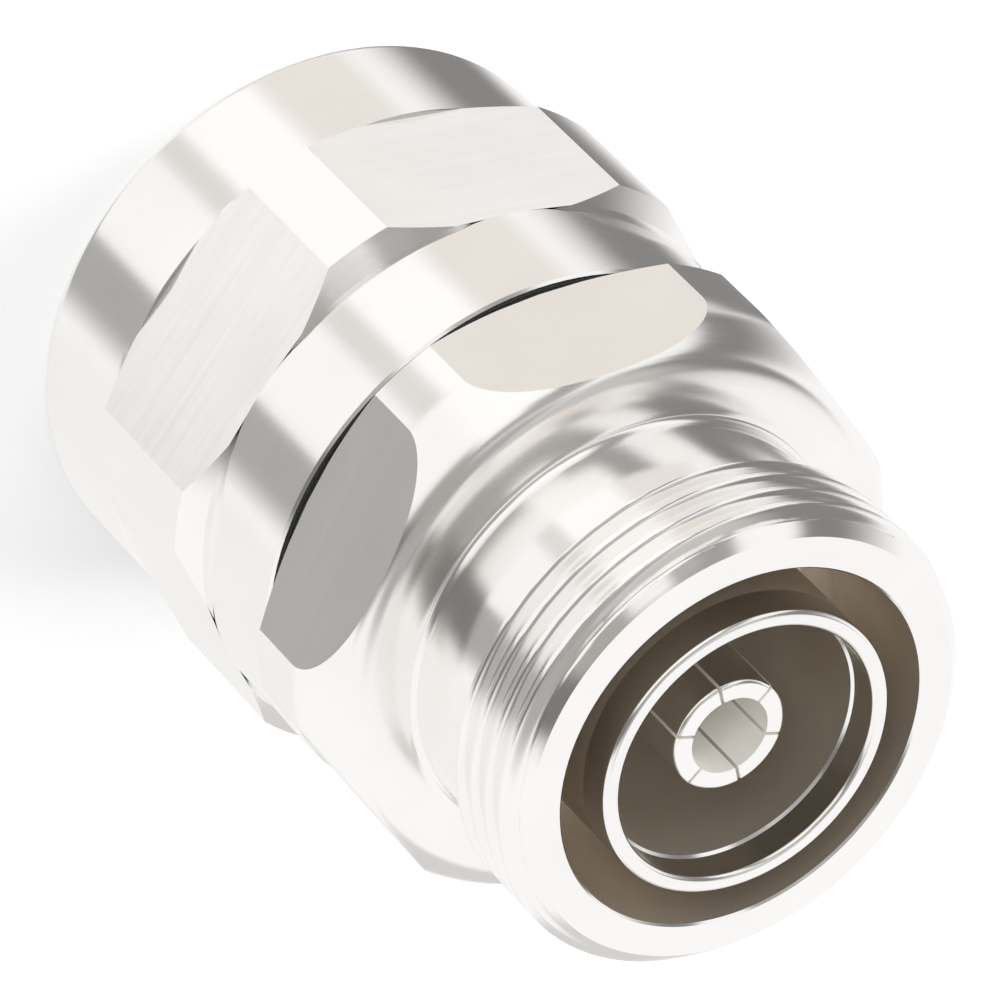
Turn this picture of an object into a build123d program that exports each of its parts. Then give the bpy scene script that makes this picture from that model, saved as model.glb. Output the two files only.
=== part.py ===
from build123d import *
import math
import os

os.makedirs("parts", exist_ok=True)

# A large threaded coaxial socket for corrugated feeder cable, in millimetres. Z is the axis: the
# connector stands on its cable end at 0 and its threaded mating face is on top. X is square to a
# flat of the nut. The nut is shown screwed home on the body.

# The cable that the connector is made for: everything round it is sized from its jacket
jacket_radius = 13.75
jacket_thickness = 1.3
corrugation_depth = 0.85
conductor_radius = jacket_radius - jacket_thickness

# Clamp nut, inside
cable_bore_radius = jacket_radius + 0.45
chamber_radius = jacket_radius + 1.15
lip_length = 4.0
entry_chamfer = 0.6

# Clamping stack in the nut's chamber
seal_squeeze = 0.15
seal_length = 6.8
seal_lips = 3
seal_lip_height = 0.5
seal_clearance = 0.05
slip_gap = 0.1
washer_thickness = 1.5
segment_count = 8
segment_length = 4.6
segment_gap = 0.7
stack_clearance = 0.1
segment_bore_radius = conductor_radius + 0.45
segment_bead_radius = conductor_radius - corrugation_depth
segment_bead_length = 1.4
segment_front_bevel = 0.7
spring_coil_radius = 0.55
spring_groove_clearance = 0.1
flare_gap = 0.6

# Thread that joins nut and body, drawn at its outside diameter
joint_thread_radius = chamber_radius + 0.6
thread_clearance = 0.05
thread_lead = 0.4
nut_relief_depth = 0.2
nut_relief_length = 1.2
body_turn = 9.4

# Wrench hexagon of the nut and of the body: both are turned from the same bar
hexagon_wall = 1.5
across_flats = 2 * (joint_thread_radius + hexagon_wall)
corner_rise = 1.6
corner_radius = across_flats / 2 + corner_rise
hex_chamfer = 1.1
flats_margin = 5.0

# Clamp nut, outside, from the cable end up
tail_wall = 2.4
tail_radius = chamber_radius + tail_wall
tail_length = 7.7
tail_edge = 0.4
nut_hex_length = 11.3
nut_step = 0.2
skirt_wall = 1.7
skirt_radius = joint_thread_radius + skirt_wall
skirt_length = 7.0
skirt_edge = 0.15

# Rubber ring squeezed between the nut's mouth and the body
seam = 0.5
ring_groove_radius = joint_thread_radius - 0.7
ring_groove_length = 1.8
ring_round = 0.2
ring_clearance = 0.03
mouth_chamfer = 1.2
mouth_radius = joint_thread_radius + thread_clearance + mouth_chamfer

# Body, outside, from its hexagon up to the mating face
body_back_radius = across_flats / 2
body_hex_length = 8.7
mating_thread_radius = 14.5
mating_thread_depth = 0.9
mating_thread_length = 6.7
thread_runout = 0.6
mating_lead_radius = mating_thread_radius - mating_thread_depth - 0.1
mating_lead_length = 1.2
face_edge = 0.15
face_radius = mating_lead_radius - face_edge
neck_radius = mating_thread_radius - 1.3
neck_fillet = 0.4
neck_length = 6.1
shoulder_land = 2.1
shoulder_round = corner_radius - neck_radius - neck_fillet - shoulder_land

# Body, inside, from the mating face down
groove_radius = 11.35
groove_depth = 9.0
contact_seat_radius = 9.6
contact_seat_length = 7.2
bead_thickness = 4.0
web_thickness = 2.3
web_bore_radius = 8.0
rear_bore_radius = 10.8
nose_flare = 1.2

# Outer contact tube
contact_proud = 0.5
contact_radius = 9.0
contact_mouth_radius = 8.0
contact_mouth_depth = 2.0
contact_bore_radius = 7.85
contact_rim_round = 0.25
press_clearance = 0.02

# Insulator bead
bead_clearance = 0.05
bead_bore_clearance = 0.05
bead_recess_depth = 0.6
bead_recess_inner = 4.3
bead_recess_outer = 7.6

# Centre socket
socket_recess = 1.35
socket_radius = 3.5
socket_edge = 0.25
socket_bore_radius = 2.4
socket_bore_depth = 10.0
socket_slots = 6
socket_slot_width = 0.2
socket_slot_length = 9.0
socket_slot_turn = 20.0
stud_radius = 1.5
stud_length = 3.6
stud_clearance = 0.03
stud_end_gap = 0.4

# Spring plug for the hollow inner conductor of the cable
plug_neck_radius = 2.6
plug_body_length = 3.8
plug_cone_length = 1.5
plug_flange_radius = 4.6
plug_flange_length = 1.5
plug_spigot_radius = 4.0
plug_spigot_relief = 0.25
plug_relief_length = 1.5
plug_spigot_length = 10.0
plug_nose_round = 0.8
plug_bore_radius = 2.6
plug_bore_depth = 8.5
plug_slots = 4
plug_slot_width = 0.8
plug_slot_length = 7.5

# Levels along the axis that more than one piece uses
nut_hex_top = tail_length + nut_hex_length
nut_top = nut_hex_top + skirt_length
body_base = nut_top + seam
shoulder_level = body_base + body_hex_length
neck_top = shoulder_level + neck_length
body_top = neck_top + mating_thread_length
seal_top = lip_length + seal_length
washer_base = seal_top + slip_gap
segment_base = washer_base + washer_thickness
segment_top = segment_base + segment_length
nose_level = segment_top + flare_gap
spring_level = segment_base + segment_length / 2
groove_floor = body_top - groove_depth
bead_top = groove_floor - contact_seat_length
bead_base = bead_top - bead_thickness
web_base = bead_base - web_thickness

# Radii that more than one piece of the clamping stack uses
stack_radius = chamber_radius - stack_clearance
spring_half_groove = spring_coil_radius + spring_groove_clearance
spring_ring_radius = stack_radius - spring_half_groove


def turned(*outline):
    """Solid turned about Z from its half section: (radius, level) corners, each with an optional round."""
    section = make_face(Polyline(*[corner[:2] for corner in outline], close=True))
    for corner in outline:
        if len(corner) == 3:
            place = Vector(corner[0], corner[1], 0)
            vertex = min(section.vertices(), key=lambda v: (Vector(v.X, v.Y, v.Z) - place).length)
            section = fillet(vertex, corner[2])
    return revolve(Plane.XZ * section, Axis.Z)


def milled_flats(blank, low, high, turn):
    """The turned blank with six wrench flats milled between two levels."""
    bar = Rot(0, 0, turn) * RegularPolygon(across_flats / 2, 6, major_radius=False, rotation=30)
    around = Circle(corner_radius + flats_margin) - bar
    return blank - extrude(Pos(0, 0, low) * around, high - low)


def radial_slots(count, width, reach, low, high, turn):
    """Thin cutters that stand round the axis between two levels, one for each slot."""
    blade = Pos(reach / 2, 0, (low + high) / 2) * Box(reach, width, high - low)
    return [Rot(0, 0, turn + 360 * k / count) * blade for k in range(count)]


def clamp_nut():
    """Brass nut: hexagon between a plain tail over the cable and a skirt over the body's thread."""
    thread_bore = joint_thread_radius + thread_clearance
    blank = turned(
        (cable_bore_radius + entry_chamfer, 0),
        (tail_radius, 0, tail_edge),
        (tail_radius, tail_length),
        (corner_radius, tail_length + hex_chamfer),
        (corner_radius, nut_hex_top - hex_chamfer),
        (skirt_radius + nut_step, nut_hex_top),
        (skirt_radius, nut_hex_top),
        (skirt_radius, nut_top, skirt_edge),
        (mouth_radius, nut_top),
        (thread_bore, nut_top - mouth_chamfer),
        (thread_bore, segment_top + nut_relief_length),
        (thread_bore + nut_relief_depth, segment_top + nut_relief_length),
        (thread_bore + nut_relief_depth, segment_top),
        (chamber_radius, segment_top),
        (chamber_radius, lip_length),
        (cable_bore_radius, lip_length),
        (cable_bore_radius, entry_chamfer),
    )
    return milled_flats(blank, tail_length, nut_hex_top, 0)


def jacket_seal():
    """Rubber sleeve with lips inside, squeezed on to the cable's jacket by the clamping stack."""
    pitch = seal_length / seal_lips
    tip = jacket_radius - seal_squeeze
    inside = []
    for k in range(seal_lips):
        level = lip_length + k * pitch
        inside += [(tip + seal_lip_height, level), (tip, level + pitch / 2)]
    inside.append((tip + seal_lip_height, seal_top))
    outside = chamber_radius - seal_clearance
    return turned((outside, lip_length), *inside, (outside, seal_top))


def thrust_washer():
    """Brass ring between the turning seal and the segments, which stand still with the cable."""
    return turned(
        (segment_bore_radius, washer_base),
        (stack_radius, washer_base),
        (stack_radius, segment_base),
        (segment_bore_radius, segment_base),
    )


def clamp_segments():
    """Eight brass segments whose inner bead grips the valley behind the cable's last corrugation."""
    groove_floor_radius = spring_ring_radius - spring_half_groove
    bead_base_level = segment_top - segment_front_bevel - segment_bead_length
    bead_rise = segment_bore_radius - segment_bead_radius
    ring = turned(
        (segment_bore_radius, segment_base),
        (stack_radius, segment_base),
        (stack_radius, spring_level - spring_half_groove),
        (groove_floor_radius, spring_level - spring_half_groove),
        (groove_floor_radius, spring_level + spring_half_groove),
        (stack_radius, spring_level + spring_half_groove),
        (stack_radius, segment_top),
        (segment_bead_radius + segment_front_bevel, segment_top),
        (segment_bead_radius, segment_top - segment_front_bevel),
        (segment_bead_radius, bead_base_level),
        (segment_bore_radius, bead_base_level - bead_rise),
    )
    cuts = radial_slots(segment_count, segment_gap, chamber_radius + 1, segment_base, segment_top, 0)
    return (ring - cuts).solids().sort_by(lambda s: math.atan2(s.center().Y, s.center().X))


def garter_spring():
    """Coil spring joined into a ring, which holds the segments together, drawn as its envelope."""
    coil = Pos(spring_ring_radius, spring_level) * Circle(spring_coil_radius)
    return revolve(Plane.XZ * coil, Axis.Z)


def front_body():
    """Brass body: mating thread, drawn at its crest, neck, shoulder with six flats, and a stem for the nut."""
    blank = turned(
        (groove_radius, body_top),
        (face_radius, body_top),
        (mating_lead_radius, body_top - face_edge),
        (mating_thread_radius, body_top - mating_lead_length),
        (mating_thread_radius, neck_top + thread_runout),
        (neck_radius, neck_top),
        (neck_radius, shoulder_level, neck_fillet),
        (corner_radius, shoulder_level, shoulder_round),
        (corner_radius, body_base + hex_chamfer),
        (body_back_radius, body_base),
        (ring_groove_radius, body_base),
        (ring_groove_radius, body_base - ring_groove_length),
        (joint_thread_radius, body_base - ring_groove_length),
        (joint_thread_radius, nose_level + thread_lead),
        (joint_thread_radius - thread_lead, nose_level),
        (rear_bore_radius + nose_flare, nose_level),
        (rear_bore_radius, nose_level + nose_flare),
        (rear_bore_radius, web_base),
        (web_bore_radius, web_base),
        (web_bore_radius, bead_base),
        (contact_seat_radius, bead_base),
        (contact_seat_radius, groove_floor),
        (groove_radius, groove_floor),
    )
    return milled_flats(blank, body_base, shoulder_level, body_turn)


def body_seal():
    """Black rubber ring in the groove behind the body's hexagon, squeezed by the nut's mouth."""
    thread_bore = joint_thread_radius + thread_clearance
    inside = ring_groove_radius + ring_clearance
    cone_base = nut_top + ring_clearance - mouth_chamfer
    return turned(
        (inside, body_base, ring_round),
        (mouth_radius, body_base, ring_round),
        (mouth_radius, nut_top + ring_clearance),
        (thread_bore, cone_base, ring_round),
        (inside, cone_base, ring_round),
    )


def outer_contact():
    """Plated tube pressed into the body, inside which the plug's sprung outer contact fits."""
    tip = body_top + contact_proud
    collar = contact_seat_radius - press_clearance
    return turned(
        (contact_mouth_radius, tip, contact_rim_round),
        (contact_radius, tip, contact_rim_round),
        (contact_radius, groove_floor),
        (collar, groove_floor),
        (collar, bead_top),
        (contact_bore_radius, bead_top),
        (contact_bore_radius, tip - contact_mouth_depth),
        (contact_mouth_radius, tip - contact_mouth_depth),
    )


def insulator_bead():
    """White fluoroplastic disc that carries the centre conductor, recessed on both faces."""
    bore = plug_neck_radius + bead_bore_clearance
    outside = contact_seat_radius - bead_clearance
    return turned(
        (bore, bead_base),
        (bead_recess_inner, bead_base),
        (bead_recess_inner, bead_base + bead_recess_depth),
        (bead_recess_outer, bead_base + bead_recess_depth),
        (bead_recess_outer, bead_base),
        (outside, bead_base),
        (outside, bead_top),
        (bead_recess_outer, bead_top),
        (bead_recess_outer, bead_top - bead_recess_depth),
        (bead_recess_inner, bead_top - bead_recess_depth),
        (bead_recess_inner, bead_top),
        (bore, bead_top),
    )


def centre_socket():
    """Silvered bronze socket: six spring fingers round a bore that grips the plug's pin."""
    tip = body_top - socket_recess
    tapped = stud_radius + stud_clearance
    blank = turned(
        (0, tip - socket_bore_depth),
        (socket_bore_radius, tip - socket_bore_depth),
        (socket_bore_radius, tip),
        (socket_radius, tip, socket_edge),
        (socket_radius, bead_top),
        (tapped, bead_top),
        (tapped, bead_top + stud_length + stud_end_gap),
        (0, bead_top + stud_length + stud_end_gap),
    )
    slots = radial_slots(
        socket_slots, socket_slot_width, socket_radius + 1, tip - socket_slot_length, tip + 1, socket_slot_turn
    )
    return blank - slots


def cable_plug():
    """Bronze plug: a stud screwed into the socket, and four spring fingers for the hollow conductor."""
    cone_top = bead_base - plug_body_length
    flange_top = cone_top - plug_cone_length
    spigot_top = flange_top - plug_flange_length
    spigot_end = spigot_top - plug_spigot_length
    relief = plug_spigot_radius - plug_spigot_relief
    blank = turned(
        (0, bead_top + stud_length),
        (stud_radius, bead_top + stud_length),
        (stud_radius, bead_top),
        (plug_neck_radius, bead_top),
        (plug_neck_radius, bead_base),
        (socket_radius, bead_base),
        (socket_radius, cone_top),
        (plug_flange_radius, flange_top),
        (plug_flange_radius, spigot_top),
        (relief, spigot_top),
        (relief, spigot_top - plug_relief_length),
        (plug_spigot_radius, spigot_top - plug_relief_length),
        (plug_spigot_radius, spigot_end, plug_nose_round),
        (plug_bore_radius, spigot_end),
        (plug_bore_radius, spigot_end + plug_bore_depth),
        (0, spigot_end + plug_bore_depth),
    )
    slots = radial_slots(
        plug_slots, plug_slot_width, plug_spigot_radius + 1, spigot_end - 1, spigot_end + plug_slot_length, 45
    )
    return blank - slots


pieces = {
    "clamp_nut": clamp_nut(),
    "jacket_seal": jacket_seal(),
    "thrust_washer": thrust_washer(),
    "garter_spring": garter_spring(),
    "front_body": front_body(),
    "body_seal": body_seal(),
    "outer_contact": outer_contact(),
    "insulator_bead": insulator_bead(),
    "centre_socket": centre_socket(),
    "cable_plug": cable_plug(),
}
for number, segment in enumerate(clamp_segments(), start=1):
    pieces[f"clamp_segment_{number}"] = segment

for name, piece in pieces.items():
    export_step(piece, f"parts/{name}.step")
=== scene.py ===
import bmesh
import bpy
import numpy as np
from mathutils import Matrix, Vector


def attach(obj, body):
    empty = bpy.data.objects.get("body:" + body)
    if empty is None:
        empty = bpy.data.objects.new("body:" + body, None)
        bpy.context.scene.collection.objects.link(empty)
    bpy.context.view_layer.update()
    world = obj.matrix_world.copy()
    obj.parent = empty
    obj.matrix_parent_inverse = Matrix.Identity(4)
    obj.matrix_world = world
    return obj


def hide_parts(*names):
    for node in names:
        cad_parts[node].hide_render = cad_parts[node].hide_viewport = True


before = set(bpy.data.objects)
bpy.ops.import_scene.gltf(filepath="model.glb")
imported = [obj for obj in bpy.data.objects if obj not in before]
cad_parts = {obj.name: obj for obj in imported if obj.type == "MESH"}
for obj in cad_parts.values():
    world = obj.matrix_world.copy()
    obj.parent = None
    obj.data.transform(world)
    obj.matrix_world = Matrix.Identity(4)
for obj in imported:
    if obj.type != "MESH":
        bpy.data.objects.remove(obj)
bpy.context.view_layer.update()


# The body, turned from brass bar, milled on six sides and plated with white bronze: mating thread M29 x 1.5,
# neck, rounded shoulder and hexagon. Inside it is the groove round the contact tube, and at the back the
# stem that screws into the nut.
MM = 0.001
across_flats = 34.0
corner_radius = 18.59
body_turn = 9.4
hexagon_base = 26.5
shoulder_base = 31.18
shoulder_rounds = [(5.0, 43), (1.9, 35), (12.0, 12)]
shoulder_ease = 1.1
land_level = 35.41
flat_end_radius = 16.5
neck_radius = 13.2
neck_fillet = 0.45
thread_bottom = 41.3
thread_pitch = 1.5
thread_crest = 14.5
thread_root = 13.6
crest_start = 0.82
root_end = 0.10
lead_slope = 1.05
runout_height = 0.6
face_level = 48.0
face_edge = 0.15
face_edge_radius = 13.5
groove_radius = 11.35
groove_bottom = 39.0
tube_seat_radius = 9.6
bead_seat_level = 27.8
bead_bore_radius = 8.0
cable_side_level = 25.5
cable_side_radius = 10.8
stem_mouth = 1.2
stem_radius = 15.5
stem_edge = 0.4
stem_bottom = 17.6
stem_relief_radius = 14.8
stem_relief_level = 24.7


def polyline(corners, step):
    """Points along a half section (radius, level) in mm, at most one step apart, each corner kept."""
    corners = np.asarray(corners, float)
    legs = np.linalg.norm(np.diff(corners, axis=0), axis=1)
    counts = np.maximum(1, np.ceil(legs / step)).astype(int)
    runs = [a + (b - a) * (np.arange(n) / n)[:, None] for a, b, n in zip(corners[:-1], corners[1:], counts)]
    return np.vstack(runs + [corners[-1:]])


def arc(centre, radius, start, end, count):
    """Points on a circle's arc in the half section, evenly from start to end in degrees."""
    a = np.radians(np.linspace(start, end, count))
    return np.column_stack([centre[0] + radius * np.cos(a), centre[1] + radius * np.sin(a)])


def eased_round(start, rounds, ease):
    """Rounding of an upright edge in the half section, as rounds (radius in mm, degrees turned) one after
    another. The curvature, one over the radius, is averaged over an ease in mm, so that no ring shows
    where two rounds meet. The heading is its running sum, and the place the running sum of the heading."""
    step = 0.01
    bend = np.concatenate([np.full(round(r * np.radians(turn) / step), 1 / r) for r, turn in rounds])
    window = np.hanning(round(ease / step))
    padded = np.pad(bend, len(window) // 2, mode="edge")
    eased = np.convolve(padded, window / window.sum(), "same")[len(window) // 2:][:len(bend)]
    heading = np.cumsum(eased) * step
    points = np.column_stack([-np.sin(heading), np.cos(heading)]).cumsum(axis=0) * step + start
    return points[::14]


def turned_surface(section, angle):
    """Section (radius, level) swept round the axis: x is radius times cosine, y is radius times sine."""
    radius, level = section[:, :1], section[:, 1:]
    return np.stack([radius * np.cos(angle), radius * np.sin(angle), level + 0 * angle], axis=-1)


def hexagon_surface(section, milled, turn, flat_columns=16, corner_columns=20):
    """Turned bar with six flats. On a milled row the radius is the nearer of the bar's and the plane's,
    which is half the width across flats over the cosine of the angle from the flat's middle. The columns
    of a sector keep to the flat's edge, where that angle is acos(half the width / bar radius)."""
    flat = across_flats / 2
    radius, level = section[:, :1], section[:, 1:]
    edge = np.where(milled[:, None], np.arccos(np.minimum(1, flat / np.maximum(radius, flat))), 0)
    over_flat = edge * np.linspace(-1, 1, flat_columns + 1)[:-1]
    over_corner = edge + (np.pi / 3 - 2 * edge) * np.linspace(0, 1, corner_columns + 1)[:-1]
    beta = np.hstack([over_flat, over_corner])
    cut = np.where(milled[:, None], np.minimum(radius, flat / np.cos(over_flat)), radius)
    cut = np.tile(np.hstack([cut, radius + 0 * over_corner]), (1, 6))
    angle = np.hstack([beta + sector * np.pi / 3 for sector in range(6)]) + np.radians(turn)
    return np.stack([cut * np.cos(angle), cut * np.sin(angle), level + 0 * angle], axis=-1)


def thread_radius(angle, level):
    """Radius of the threaded end: a wave of level / pitch - angle / turn, which climbs one pitch a turn. Its
    flanks go from root to crest mostly by the smooth step 3 t^2 - 2 t^3 of the way t along them. The
    nearer to the axis of that wave, of the cone in front that leads the plug's nut on, and of the cone at
    the back where the tool ran out, is the surface."""
    phase = (level / thread_pitch - angle / (2 * np.pi)) % 1.0
    t = np.clip((np.abs(phase - 0.5) * 2 - root_end) / (crest_start - root_end), 0, 1)
    climb = 0.85 * t * t * (3 - 2 * t) + 0.15 * t
    wave = thread_root + (thread_crest - thread_root) * climb
    lead = face_edge_radius + (face_level - face_edge - level) / lead_slope
    runout = neck_radius + (level - thread_bottom) * (thread_crest - neck_radius) / runout_height
    return np.minimum(np.minimum(wave, lead), runout)


def grid_faces(rows, columns, closed_rows=True, closed_columns=True):
    """Quads between neighbours of a grid of points. A closed way joins its last line to its first."""
    index = np.arange(rows * columns).reshape(rows, columns)
    if closed_rows:
        index = np.vstack([index, index[:1]])
    if closed_columns:
        index = np.hstack([index, index[:, :1]])
    return np.stack([index[:-1, :-1], index[:-1, 1:], index[1:, 1:], index[1:, :-1]], axis=-1).reshape(-1, 4)


def mesh_piece(name, surface):
    """Object from a closed grid of points in mm, normals outwards, edges sharp where two faces meet at more
    than 19 degrees."""
    mesh = bpy.data.meshes.new(name)
    mesh.from_pydata((surface.reshape(-1, 3) * MM).tolist(), [], grid_faces(*surface.shape[:2]).tolist())
    shell = bmesh.new()
    shell.from_mesh(mesh)
    bmesh.ops.remove_doubles(shell, verts=shell.verts, dist=2e-6)
    bmesh.ops.dissolve_degenerate(shell, edges=shell.edges, dist=1e-6)
    bmesh.ops.recalc_face_normals(shell, faces=shell.faces)
    shell.to_mesh(mesh)
    shell.free()
    mesh.shade_smooth()
    mesh.set_sharp_from_angle(angle=np.radians(19.0))
    piece = bpy.data.objects.new(name, mesh)
    bpy.context.collection.objects.link(piece)
    return piece


outside = np.vstack([
    polyline([(stem_relief_radius, hexagon_base), (17.0, hexagon_base), (corner_radius, 27.6)], 0.25),
    polyline([(corner_radius, 27.7), (corner_radius, 31.1)], 0.35),
    eased_round((corner_radius, shoulder_base), shoulder_rounds, shoulder_ease),
    arc((neck_radius + neck_fillet, land_level + neck_fillet), neck_fillet, 266, 182, 9),
    polyline([(neck_radius, land_level + 0.6), (neck_radius, thread_bottom)], 0.4),
])
milled_rows = outside[:, 0] >= flat_end_radius
hexagon = hexagon_surface(outside, milled_rows, body_turn)
round_angle = np.arctan2(hexagon[-1, :, 1], hexagon[-1, :, 0])

thread_level = np.linspace(thread_bottom, face_level - face_edge, 176)[1:, None] + 0 * round_angle
thread_angle = round_angle + 0 * thread_level
reach = thread_radius(thread_angle, thread_level)
thread = np.stack([reach * np.cos(thread_angle), reach * np.sin(thread_angle), thread_level], axis=-1)

inside = np.vstack([
    polyline([
        (face_edge_radius - face_edge, face_level), (groove_radius + 0.12, face_level),
        (groove_radius, face_level - 0.12),
    ], 0.6),
    polyline([
        (groove_radius, face_level - 0.4), (groove_radius, groove_bottom), (tube_seat_radius, groove_bottom),
        (tube_seat_radius, bead_seat_level), (bead_bore_radius, bead_seat_level),
        (bead_bore_radius, cable_side_level),
    ], 1.2),
    polyline([
        (cable_side_radius, cable_side_level), (cable_side_radius, stem_bottom + stem_mouth),
        (cable_side_radius + stem_mouth, stem_bottom), (stem_radius - stem_edge, stem_bottom),
        (stem_radius, stem_bottom + stem_edge),
    ], 1.2),
    polyline([(stem_radius, stem_relief_level), (stem_relief_radius, stem_relief_level)], 1.2),
])
body = mesh_piece("body", np.concatenate([hexagon, thread, turned_surface(inside, round_angle)]))


def plated(name, colour, roughness, marks, mark_scale, mark_depth, mottle, metallic=1.0):
    """Worked and plated metal. The marks of the tool are a stretched noise: on turned pieces it follows
    (distance from the axis, level), so that it runs round, and on milled flats it runs across them. It
    stirs the roughness and, as deep as mark_depth says, the relief, with a fine grain. A cloud darkens
    the plating by the share that mottle gives. In a Mix node, sockets 6 and 7 are its two colours, and
    sockets 2 and 3 its two values."""
    material = bpy.data.materials.new(name)
    material.use_nodes = True
    tree = material.node_tree
    shader = tree.nodes["Principled BSDF"]
    shader.inputs["Metallic"].default_value = metallic
    place = tree.nodes.new("ShaderNodeTexCoord")

    spread = tree.nodes.new("ShaderNodeVectorMath")
    spread.operation = "MULTIPLY"
    tree.links.new(place.outputs["Object"], spread.inputs[0])
    if marks == "milled":
        spread.inputs[1].default_value = (0.035, 0.035, 1)
        along = spread.outputs["Vector"]
    else:
        spread.inputs[1].default_value = (1, 1, 0)
        distance = tree.nodes.new("ShaderNodeVectorMath")
        distance.operation = "LENGTH"
        level = tree.nodes.new("ShaderNodeSeparateXYZ")
        section = tree.nodes.new("ShaderNodeCombineXYZ")
        tree.links.new(spread.outputs["Vector"], distance.inputs[0])
        tree.links.new(place.outputs["Object"], level.inputs[0])
        tree.links.new(distance.outputs["Value"], section.inputs["X"])
        tree.links.new(level.outputs["Z"], section.inputs["Z"])
        along = section.outputs["Vector"]

    lines = tree.nodes.new("ShaderNodeTexNoise")
    lines.inputs["Scale"].default_value = mark_scale
    lines.inputs["Detail"].default_value = 3.0
    tree.links.new(along, lines.inputs["Vector"])
    cloud = tree.nodes.new("ShaderNodeTexNoise")
    cloud.inputs["Scale"].default_value = 160.0
    cloud.inputs["Detail"].default_value = 4.0
    tree.links.new(place.outputs["Object"], cloud.inputs["Vector"])
    grain = tree.nodes.new("ShaderNodeTexNoise")
    grain.inputs["Scale"].default_value = 5200.0
    grain.inputs["Detail"].default_value = 2.0
    tree.links.new(place.outputs["Object"], grain.inputs["Vector"])

    share = tree.nodes.new("ShaderNodeMapRange")
    share.inputs["From Min"].default_value = 0.35
    share.inputs["From Max"].default_value = 0.65
    tree.links.new(cloud.outputs["Fac"], share.inputs["Value"])
    tint = tree.nodes.new("ShaderNodeMix")
    tint.data_type = "RGBA"
    tint.inputs[6].default_value = (*colour, 1)
    tint.inputs[7].default_value = (*[c * (1 - mottle) for c in colour], 1)
    tree.links.new(share.outputs["Result"], tint.inputs[0])
    tree.links.new(tint.outputs[2], shader.inputs["Base Color"])

    haze = tree.nodes.new("ShaderNodeMapRange")
    haze.inputs["From Min"].default_value = 0.3
    haze.inputs["From Max"].default_value = 0.7
    haze.inputs["To Min"].default_value = roughness * 0.88
    haze.inputs["To Max"].default_value = roughness * 1.14
    tree.links.new(lines.outputs["Fac"], haze.inputs["Value"])
    tree.links.new(haze.outputs["Result"], shader.inputs["Roughness"])

    both = tree.nodes.new("ShaderNodeMix")
    both.data_type = "FLOAT"
    both.inputs[0].default_value = 0.35
    tree.links.new(lines.outputs["Fac"], both.inputs[2])
    tree.links.new(grain.outputs["Fac"], both.inputs[3])
    relief = tree.nodes.new("ShaderNodeBump")
    relief.inputs["Strength"].default_value = mark_depth
    relief.inputs["Distance"].default_value = 2e-5
    tree.links.new(both.outputs[0], relief.inputs["Height"])
    tree.links.new(relief.outputs["Normal"], shader.inputs["Normal"])
    return material


def face_frames(piece):
    """Middles in mm and normals of a piece's faces, as two arrays."""
    middle = np.empty(len(piece.data.polygons) * 3)
    normal = np.empty(len(piece.data.polygons) * 3)
    piece.data.polygons.foreach_get("center", middle)
    piece.data.polygons.foreach_get("normal", normal)
    return middle.reshape(-1, 3) / MM, normal.reshape(-1, 3)


def on_flats(piece):
    """Faces that lie in a milled plane: upright, and half the width across flats from the axis."""
    middle, normal = face_frames(piece)
    reach = (middle * normal).sum(axis=1)
    return (np.abs(normal[:, 2]) < 0.02) & (np.abs(reach - across_flats / 2) < 0.03)


def in_bore(piece, radius, low, high):
    """Faces whose middles lie within a radius of the axis and between two levels."""
    middle, normal = face_frames(piece)
    within = np.hypot(middle[:, 0], middle[:, 1]) < radius
    return within & (middle[:, 2] > low) & (middle[:, 2] < high)


# outside bright from the lathe, shoulder satin, flats a little duller from the milling cutter, and in the
# bores a darker, browner metal: painted shade of these deep recesses
turned_bronze = plated("turned_bronze", (0.96, 0.945, 0.93), 0.13, "turned", 3400.0, 0.05, 0.03)
milled_bronze = plated("milled_bronze", (0.95, 0.935, 0.915), 0.20, "milled", 2600.0, 0.07, 0.04)
bore_shade_bronze = plated("bore_shade_bronze", (0.78, 0.70, 0.60), 0.32, "turned", 2400.0, 0.03, 0.05, metallic=0.80)
satin_bronze = plated("satin_bronze", (0.96, 0.945, 0.93), 0.17, "turned", 3000.0, 0.02, 0.03)
for finish in (turned_bronze, milled_bronze, bore_shade_bronze, satin_bronze):
    body.data.materials.append(finish)
middle, normal = face_frames(body)
rounded = (middle[:, 2] > shoulder_base - 0.08) & (middle[:, 2] < land_level + 0.4)
rounded &= np.hypot(middle[:, 0], middle[:, 1]) > neck_radius - 0.2
body_finish = np.where(rounded, 3, 0)
# the groove and bores get the darker, browner bore metal: painted shade of the recesses
body_finish[in_bore(body, groove_radius + 0.02, 20.0, face_level - 0.1)] = 2
body_finish[on_flats(body)] = 1
body.data.polygons.foreach_set("material_index", body_finish.astype(np.int32))
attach(body, "head")
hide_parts("front_body")


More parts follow.
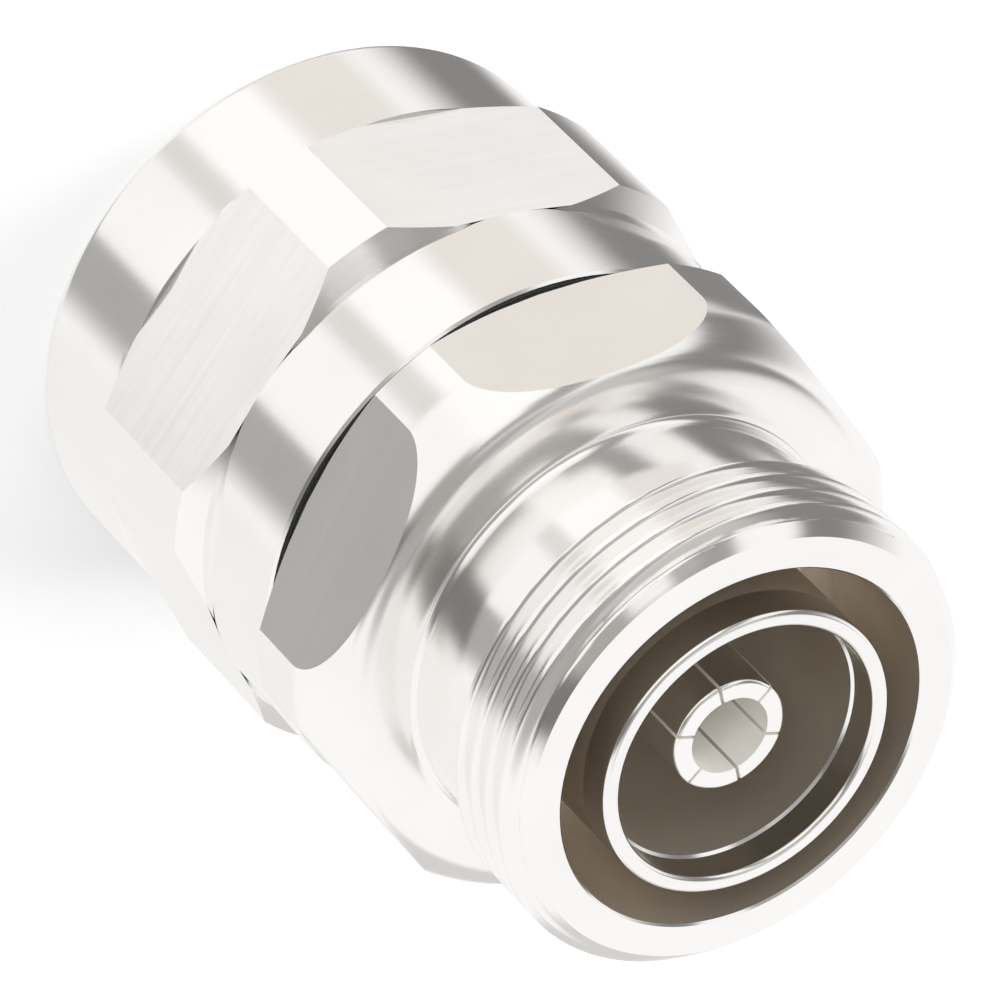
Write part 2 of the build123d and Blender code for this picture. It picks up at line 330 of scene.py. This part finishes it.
# The clamp nut, of the same plated brass: a plain tail over the cable, a hexagon between two chamfers, and a
# thin skirt that screws over the body's stem. Turned, then milled on six sides.
tail_radius = 17.3
tail_round = 0.4
skirt_radius = 17.2
skirt_tip = 26.0
hexagon_low = 7.7
hexagon_high = 19.0
bevel = 1.1
bevel_foot = 17.4
joint_bore_radius = 15.55
joint_bore_bottom = 18.2
relief_radius = 15.75
chamber_radius = 14.9
chamber_top = 17.0
chamber_bottom = 4.0
cable_bore_radius = 14.2
entry_bevel = 0.6
nut_section = np.vstack([
    polyline([(cable_bore_radius + entry_bevel, 0.0), (tail_radius - tail_round, 0.0)], 0.6),
    arc((tail_radius - tail_round, tail_round), tail_round, -80, 0, 6),
    polyline([(tail_radius, 0.5), (tail_radius, hexagon_low - 0.02)], 0.45),
    polyline([(tail_radius, hexagon_low), (corner_radius, hexagon_low + bevel)], 0.12),
    polyline([(corner_radius, hexagon_low + 1.2), (corner_radius, hexagon_high - 1.2)], 0.5),
    polyline([(corner_radius, hexagon_high - bevel), (bevel_foot, hexagon_high)], 0.12),
    polyline([
        (skirt_radius, hexagon_high), (skirt_radius, skirt_tip - 0.15), (skirt_radius - 0.15, skirt_tip),
        (joint_bore_radius + 1.2, skirt_tip), (joint_bore_radius, skirt_tip - 1.2),
    ], 0.5),
    polyline([
        (joint_bore_radius, joint_bore_bottom), (relief_radius, joint_bore_bottom),
        (relief_radius, chamber_top), (chamber_radius, chamber_top), (chamber_radius, chamber_bottom),
    ], 1.0),
    polyline([(cable_bore_radius, chamber_bottom), (cable_bore_radius, entry_bevel)], 1.0),
])
order = np.arange(len(nut_section))
first_row = np.argmax(nut_section[:, 1] >= hexagon_low)
last_row = np.argmax(nut_section[:, 1] >= hexagon_high)
nut = mesh_piece("nut", hexagon_surface(nut_section, (order >= first_row) & (order <= last_row), 0.0))
for finish in (turned_bronze, milled_bronze):
    nut.data.materials.append(finish)
nut.data.polygons.foreach_set("material_index", on_flats(nut).astype(np.int32))
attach(nut, "nut")
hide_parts("clamp_nut")


# The outer contact: a plated tube pressed into the body, with a rounded rim and a small step inside its
# mouth where the plug's spring fingers slide in.
tube_tip = face_level + 0.5
tube_foot = 31.8
tube_radius = 9.0
tube_bore_radius = 7.85
mouth_radius = 8.0
mouth_step = 46.4
rim_round = 0.28
shank_radius = 9.58
tube_section = np.vstack([
    polyline([
        (tube_bore_radius, tube_foot), (tube_bore_radius, mouth_step), (mouth_radius, mouth_step + 0.15),
        (mouth_radius, tube_tip - 0.3),
    ], 1.0),
    arc((mouth_radius + rim_round, tube_tip - rim_round), rim_round, 172, 90, 7),
    arc((tube_radius - rim_round, tube_tip - rim_round), rim_round, 90, 0, 8),
    polyline([
        (tube_radius, tube_tip - 0.4), (tube_radius, groove_bottom), (shank_radius, groove_bottom),
        (shank_radius, tube_foot),
    ], 1.0),
])
tube = mesh_piece("contact_tube", turned_surface(tube_section, np.linspace(0, 2 * np.pi, 217)[:-1]))
contact_plate = plated("contact_plate", (0.96, 0.945, 0.93), 0.15, "turned", 3000.0, 0.04, 0.03)
for finish in (contact_plate, bore_shade_bronze):
    tube.data.materials.append(finish)
# the tube's bore, and its outside down in the groove, get the darker bore metal as painted shade
tube_finish = in_bore(tube, tube_radius + 0.01, 20.0, mouth_step - 0.1)
tube.data.polygons.foreach_set("material_index", tube_finish.astype(np.int32))
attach(tube, "head")
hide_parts("outer_contact")


# The centre socket and the cable plug keep their solids: turned bronze with bright silver plate. In the
# socket's bore and in its slots, where nothing polishes it, the silver is frosted.
slotted_reach = 3.3
silver = plated("silver_plate", (0.96, 0.95, 0.93), 0.14, "turned", 4200.0, 0.04, 0.02)
frosted = plated("frosted_silver", (0.95, 0.93, 0.89), 0.55, "turned", 4200.0, 0.10, 0.02, metallic=0.25)
for node in ("centre_socket", "cable_plug"):
    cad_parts[node].data.materials.clear()
    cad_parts[node].data.materials.append(silver)
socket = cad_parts["centre_socket"]
socket.data.materials.append(frosted)
middle, normal = face_frames(socket)
outward = middle[:, 0] * normal[:, 0] + middle[:, 1] * normal[:, 1]
upright = np.abs(normal[:, 2]) < 0.3
unpolished = upright & (outward < 0.5) & (np.hypot(middle[:, 0], middle[:, 1]) < slotted_reach)
socket.data.polygons.foreach_set("material_index", unpolished.astype(np.int32))


# The clamping set keeps its solids too: eight segments and a washer of bare turned brass, and the spring
# that holds the segments together, of drawn stainless wire.
bare_brass = plated("turned_brass", (0.80, 0.62, 0.32), 0.24, "turned", 2600.0, 0.25, 0.12)
spring_wire = plated("spring_wire", (0.62, 0.61, 0.60), 0.28, "turned", 2400.0, 0.25, 0.10)
set_finish = {f"clamp_segment_{number}": bare_brass for number in range(1, 9)}
set_finish.update(thrust_washer=bare_brass, garter_spring=spring_wire)
for node, finish in set_finish.items():
    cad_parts[node].data.materials.clear()
    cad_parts[node].data.materials.append(finish)


# The seals and the bead, as their solids are: moulded black rubber, and a turned disc of white
# fluoroplastic that holds the socket in the middle of the body. The body seal's black, in the thin gap
# between body and nut, is partly a real seal and partly painted shade of that gap.
def moulded(name, colour, roughness, scale, depth, variation):
    """Rubber or plastic: a faint cloud in the colour and a fine skin that catches the light unevenly."""
    material = bpy.data.materials.new(name)
    material.use_nodes = True
    tree = material.node_tree
    shader = tree.nodes["Principled BSDF"]
    place = tree.nodes.new("ShaderNodeTexCoord")
    cloud = tree.nodes.new("ShaderNodeTexNoise")
    cloud.inputs["Scale"].default_value = 300.0
    skin = tree.nodes.new("ShaderNodeTexNoise")
    skin.inputs["Scale"].default_value = scale
    skin.inputs["Detail"].default_value = 5.0
    tree.links.new(place.outputs["Object"], cloud.inputs["Vector"])
    tree.links.new(place.outputs["Object"], skin.inputs["Vector"])
    mix = tree.nodes.new("ShaderNodeMix")
    mix.data_type = "RGBA"
    mix.inputs[6].default_value = (*colour, 1)
    mix.inputs[7].default_value = (*[c * (1 - variation) for c in colour], 1)
    tree.links.new(cloud.outputs["Fac"], mix.inputs[0])
    tree.links.new(mix.outputs[2], shader.inputs["Base Color"])
    rough = tree.nodes.new("ShaderNodeMapRange")
    rough.inputs["To Min"].default_value = roughness * 0.85
    rough.inputs["To Max"].default_value = min(1.0, roughness * 1.15)
    tree.links.new(skin.outputs["Fac"], rough.inputs["Value"])
    tree.links.new(rough.outputs["Result"], shader.inputs["Roughness"])
    relief = tree.nodes.new("ShaderNodeBump")
    relief.inputs["Strength"].default_value = depth
    relief.inputs["Distance"].default_value = 3e-5
    tree.links.new(skin.outputs["Fac"], relief.inputs["Height"])
    tree.links.new(relief.outputs["Normal"], shader.inputs["Normal"])
    return material


rubber = moulded("black_rubber", (0.022, 0.022, 0.023), 0.62, 3500.0, 0.35, 0.25)
fluoroplastic = moulded("fluoroplastic", (0.86, 0.85, 0.82), 0.42, 2200.0, 0.15, 0.06)
for node, finish in (("body_seal", rubber), ("jacket_seal", rubber), ("insulator_bead", fluoroplastic)):
    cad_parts[node].data.materials.clear()
    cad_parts[node].data.materials.append(finish)


# The floor is pale paper that keeps a soft shadow; metal doesn't see it, so that its surfaces stay clean.
floor_mesh = bpy.data.meshes.new("floor")
floor_mesh.from_pydata([(-3, -3, 0), (3, -3, 0), (3, 3, 0), (-3, 3, 0)], [], [(0, 1, 2, 3)])
floor = bpy.data.objects.new("floor", floor_mesh)
bpy.context.collection.objects.link(floor)
floor.visible_glossy = False
paper = bpy.data.materials.new("pale_paper")
paper.use_nodes = True
paper_tree = paper.node_tree
paper_shader = paper_tree.nodes["Principled BSDF"]
paper_shader.inputs["Base Color"].default_value = (0.90, 0.90, 0.90, 1)
paper_shader.inputs["Roughness"].default_value = 0.9
paper_shader.inputs["Specular IOR Level"].default_value = 0.0
glow = paper_tree.nodes.new("ShaderNodeEmission")
sight = paper_tree.nodes.new("ShaderNodeLightPath")
faint = paper_tree.nodes.new("ShaderNodeMath")
faint.operation = "MULTIPLY"
faint.inputs[1].default_value = 0.28
together = paper_tree.nodes.new("ShaderNodeAddShader")
paper_tree.links.new(sight.outputs["Is Camera Ray"], faint.inputs[0])
paper_tree.links.new(faint.outputs[0], glow.inputs["Strength"])
paper_tree.links.new(paper_shader.outputs[0], together.inputs[0])
paper_tree.links.new(glow.outputs[0], together.inputs[1])
paper_tree.links.new(together.outputs[0], paper_tree.nodes["Material Output"].inputs["Surface"])
floor_mesh.materials.append(paper)


# Grey cards far off, which only the metal sees, stand where a photographer sets them to draw the turned
# surfaces: a narrow dark one on the right, one at the left, and paler ones overhead and beside the camera.
def card(name, azimuths, rises, soft, grey, distance):
    """Curved card round the object, even in azimuth and in rise above the horizon, in degrees, at one
    distance in mm. From each side inwards it fades in over that side's soft degrees (first and last
    azimuth, lowest and highest rise), by the smooth step 3 t^2 - 2 t^3."""
    azimuth, rise = np.meshgrid(np.linspace(*azimuths, 49), np.linspace(*rises, 49))
    across = np.minimum((azimuth - azimuths[0]) / soft[0], (azimuths[1] - azimuth) / soft[1])
    upward = np.minimum((rise - rises[0]) / soft[2], (rises[1] - rise) / soft[3])
    t = np.clip(np.minimum(across, upward), 0, 1)
    a, r = np.radians(azimuth), np.radians(rise)
    way = np.stack([np.cos(r) * np.cos(a), np.cos(r) * np.sin(a), np.sin(r)], axis=-1)
    mesh = bpy.data.meshes.new(name)
    points = way.reshape(-1, 3) * distance * MM
    mesh.from_pydata(points.tolist(), [], grid_faces(49, 49, False, False).tolist())
    mesh.attributes.new("cover", "FLOAT", "POINT").data.foreach_set("value", (t * t * (3 - 2 * t)).ravel())
    sheet = bpy.data.objects.new(name, mesh)
    bpy.context.collection.objects.link(sheet)
    sheet.visible_camera = False
    sheet.visible_diffuse = False
    sheet.visible_shadow = False
    sheet.visible_transmission = False
    finish = bpy.data.materials.new(name)
    finish.use_nodes = True
    tree = finish.node_tree
    tone = tree.nodes.new("ShaderNodeEmission")
    tone.inputs["Color"].default_value = (*grey, 1)
    clear = tree.nodes.new("ShaderNodeBsdfTransparent")
    cover = tree.nodes.new("ShaderNodeAttribute")
    cover.attribute_name = "cover"
    blend = tree.nodes.new("ShaderNodeMixShader")
    tree.links.new(cover.outputs["Fac"], blend.inputs[0])
    tree.links.new(clear.outputs[0], blend.inputs[1])
    tree.links.new(tone.outputs[0], blend.inputs[2])
    tree.links.new(blend.outputs[0], tree.nodes["Material Output"].inputs["Surface"])
    mesh.materials.append(finish)


card("low_dark_card", (20, 58), (-88, -24), (4, 16, 8, 12), (0.42, 0.415, 0.41), 900)
card("high_dark_card", (10, 50), (-36, 62), (9, 12, 12, 12), (0.20, 0.195, 0.19), 910)
card("left_card", (-148, -101), (-26, 50), (30, 8, 10, 10), (0.23, 0.225, 0.22), 920)
card("left_low_card", (-178, -108), (-82, -20), (24, 24, 10, 10), (0.25, 0.245, 0.24), 925)
card("left_high_card", (-176, -104), (34, 64), (20, 10, 6, 10), (0.24, 0.235, 0.23), 928)
card("narrow_card", (-82, -57), (-22, 50), (8, 8, 10, 6), (0.36, 0.355, 0.35), 930)
card("camera_card", (-80, -44), (36, 62), (6, 6, 6, 8), (0.42, 0.41, 0.40), 940)
card("top_card", (-27, 58), (34, 90), (8, 10, 10, 4), (0.40, 0.39, 0.37), 950)
card("bevel_card", (-78, 16), (45, 66), (8, 10, 6, 10), (0.40, 0.39, 0.38), 955)
card("zenith_card", (-96, 140), (58, 90), (16, 12, 12, 1), (0.42, 0.41, 0.40), 960)
card("back_card", (-195, -90), (50, 90), (10, 10, 10, 1), (0.58, 0.57, 0.55), 970)
card("rear_card", (114, 158), (-34, 30), (10, 12, 10, 10), (0.68, 0.67, 0.66), 980)
card("pink_card", (-106, -58), (-75, -22), (12, 8, 12, 12), (0.86, 0.82, 0.78), 990)
card("slip_card", (-31, -13), (-75, -34), (6, 6, 8, 8), (0.76, 0.74, 0.72), 1000)
card("window_card", (-64, -22), (-60, 44), (8, 8, 8, 8), (1.08, 1.07, 1.06), 1010)
card("ground_card", (56, 256), (-89, -34), (8, 8, 2, 8), (0.93, 0.925, 0.92), 1020)

world = bpy.data.worlds.new("white_room")
bpy.context.scene.world = world
world.use_nodes = True
sky = world.node_tree
background = sky.nodes["Background"]
background.inputs["Color"].default_value = (1, 1, 1, 1)
background.inputs["Strength"].default_value = 0.42
seen = sky.nodes.new("ShaderNodeBackground")
seen.inputs["Color"].default_value = (1, 1, 1, 1)
seen.inputs["Strength"].default_value = 1.0
path = sky.nodes.new("ShaderNodeLightPath")
camera_or_glossy = sky.nodes.new("ShaderNodeMath")
camera_or_glossy.operation = "MAXIMUM"
sky.links.new(path.outputs["Is Camera Ray"], camera_or_glossy.inputs[0])
sky.links.new(path.outputs["Is Glossy Ray"], camera_or_glossy.inputs[1])
any_sight = sky.nodes.new("ShaderNodeMath")
any_sight.operation = "MAXIMUM"
sky.links.new(camera_or_glossy.outputs[0], any_sight.inputs[0])
sky.links.new(path.outputs["Is Transmission Ray"], any_sight.inputs[1])
choose = sky.nodes.new("ShaderNodeMixShader")
sky.links.new(any_sight.outputs[0], choose.inputs[0])
sky.links.new(background.outputs[0], choose.inputs[1])
sky.links.new(seen.outputs[0], choose.inputs[2])
sky.links.new(choose.outputs[0], sky.nodes["World Output"].inputs["Surface"])


def lamp(name, place, aim, size, watts):
    """Square area lamp at a place, turned to face a point. The metal reflects the cards, not the lamps."""
    light = bpy.data.lights.new(name, "AREA")
    light.size = size
    light.energy = watts
    thing = bpy.data.objects.new(name, light)
    thing.location = place
    thing.rotation_euler = (Vector(aim) - Vector(place)).to_track_quat("-Z", "Y").to_euler()
    thing.visible_glossy = False
    bpy.context.collection.objects.link(thing)


lamp("left_lamp", (-0.35, -0.30, 0.45), (0, 0, 0.025), 0.50, 2.7)
lamp("right_lamp", (0.36, -0.20, 0.42), (0, 0, 0.025), 0.50, 1.5)


# The camera, at the photograph's angle: it looks down at the mating face at 46 degrees to the axis, and is
# rolled so that the axis runs from lower right to upper left. Focal length, picture width and optical centre
# are in the photograph's pixels, distances in mm, and angles in radians.
focal = 9000.0
picture_width = 1000.0
optical_centre = (502.27, 494.92)
tilt, heading = 0.79866, 3.93619
face_centre = np.array([12.993, 13.705, 486.067])
back = np.array([np.sin(tilt) * np.cos(heading), np.sin(tilt) * np.sin(heading), np.cos(tilt)])
side = np.cross(back, [0, 0, 1])
side /= np.linalg.norm(side)
other = np.cross(back, side)
roll = np.radians(73.1)
row_x = side * np.cos(roll) + other * np.sin(roll)
view = np.column_stack([row_x, np.cross(-back, row_x), -back])
pose = np.eye(4)
pose[:3, :3] = view.T @ np.diag([1.0, -1.0, -1.0])
pose[:3, 3] = -view.T @ (face_centre + back * face_level) * MM
camera_data = bpy.data.cameras.new("camera")
camera = bpy.data.objects.new("camera", camera_data)
bpy.context.collection.objects.link(camera)
camera.matrix_world = Matrix(pose.tolist())
camera_data.sensor_width = 36.0
camera_data.lens = focal * camera_data.sensor_width / picture_width
camera_data.shift_x = (picture_width / 2 - optical_centre[0]) / picture_width
camera_data.shift_y = (optical_centre[1] - picture_width / 2) / picture_width
camera_data.clip_start = 0.01
camera_data.clip_end = 20.0
bpy.context.scene.camera = camera
bpy.context.scene.view_settings.view_transform = "Standard"
